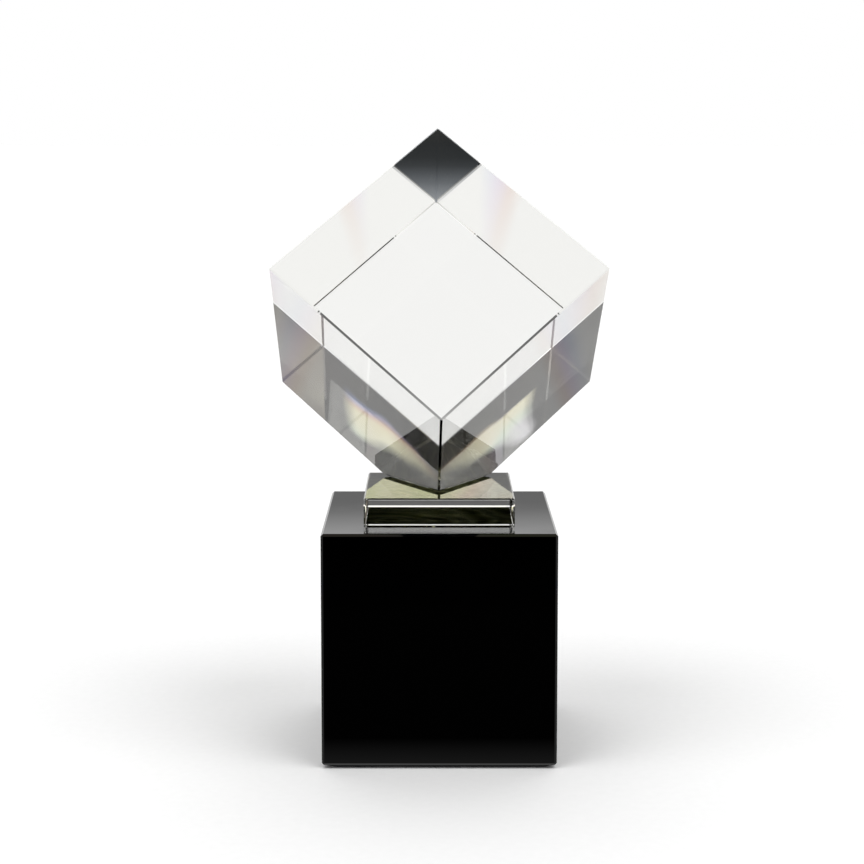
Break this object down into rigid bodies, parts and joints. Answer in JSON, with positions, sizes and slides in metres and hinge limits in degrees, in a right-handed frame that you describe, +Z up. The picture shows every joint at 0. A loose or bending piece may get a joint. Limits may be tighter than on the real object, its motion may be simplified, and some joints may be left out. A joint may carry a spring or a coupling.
{
  "type": "crystal award",
  "caption": "Clear bevelled crystal cube standing on one cut-off corner, bonded to a thin square clear plate on a polished black crystal block with a thin foot pad.",
  "frame": {"origin": "on the surface the award rests on, under the middle of its overall box, which is where the clear cube's upright diagonal meets that surface", "axes": "+Z up, -Y towards the front corner of the clear cube and the block's front face, +X to the right as seen from the front"},
  "size_m": [0.1132, 0.1296, 0.2113],
  "materials": {
    "clear_crystal": "colourless optical crystal, ground flat and polished on every face and bevel",
    "black_crystal": "opaque black crystal, ground flat and polished on every face and bevel",
    "clear_adhesive": "cured clear adhesive, a thin film that shows a faint swirl",
    "pad_adhesive": "pressure-sensitive film, tacky side hidden",
    "black_foam": "closed-cell foam sheet, fine cells, die-cut edge"
  },
  "bodies": {
    "root": {"crystal_cube": "clear_crystal", "cube_bond": "clear_adhesive", "clear_plate": "clear_crystal", "plate_bond": "clear_adhesive", "black_block": "black_crystal", "pad_glue": "pad_adhesive", "foot_pad": "black_foam"}
  },
  "joints": []
}
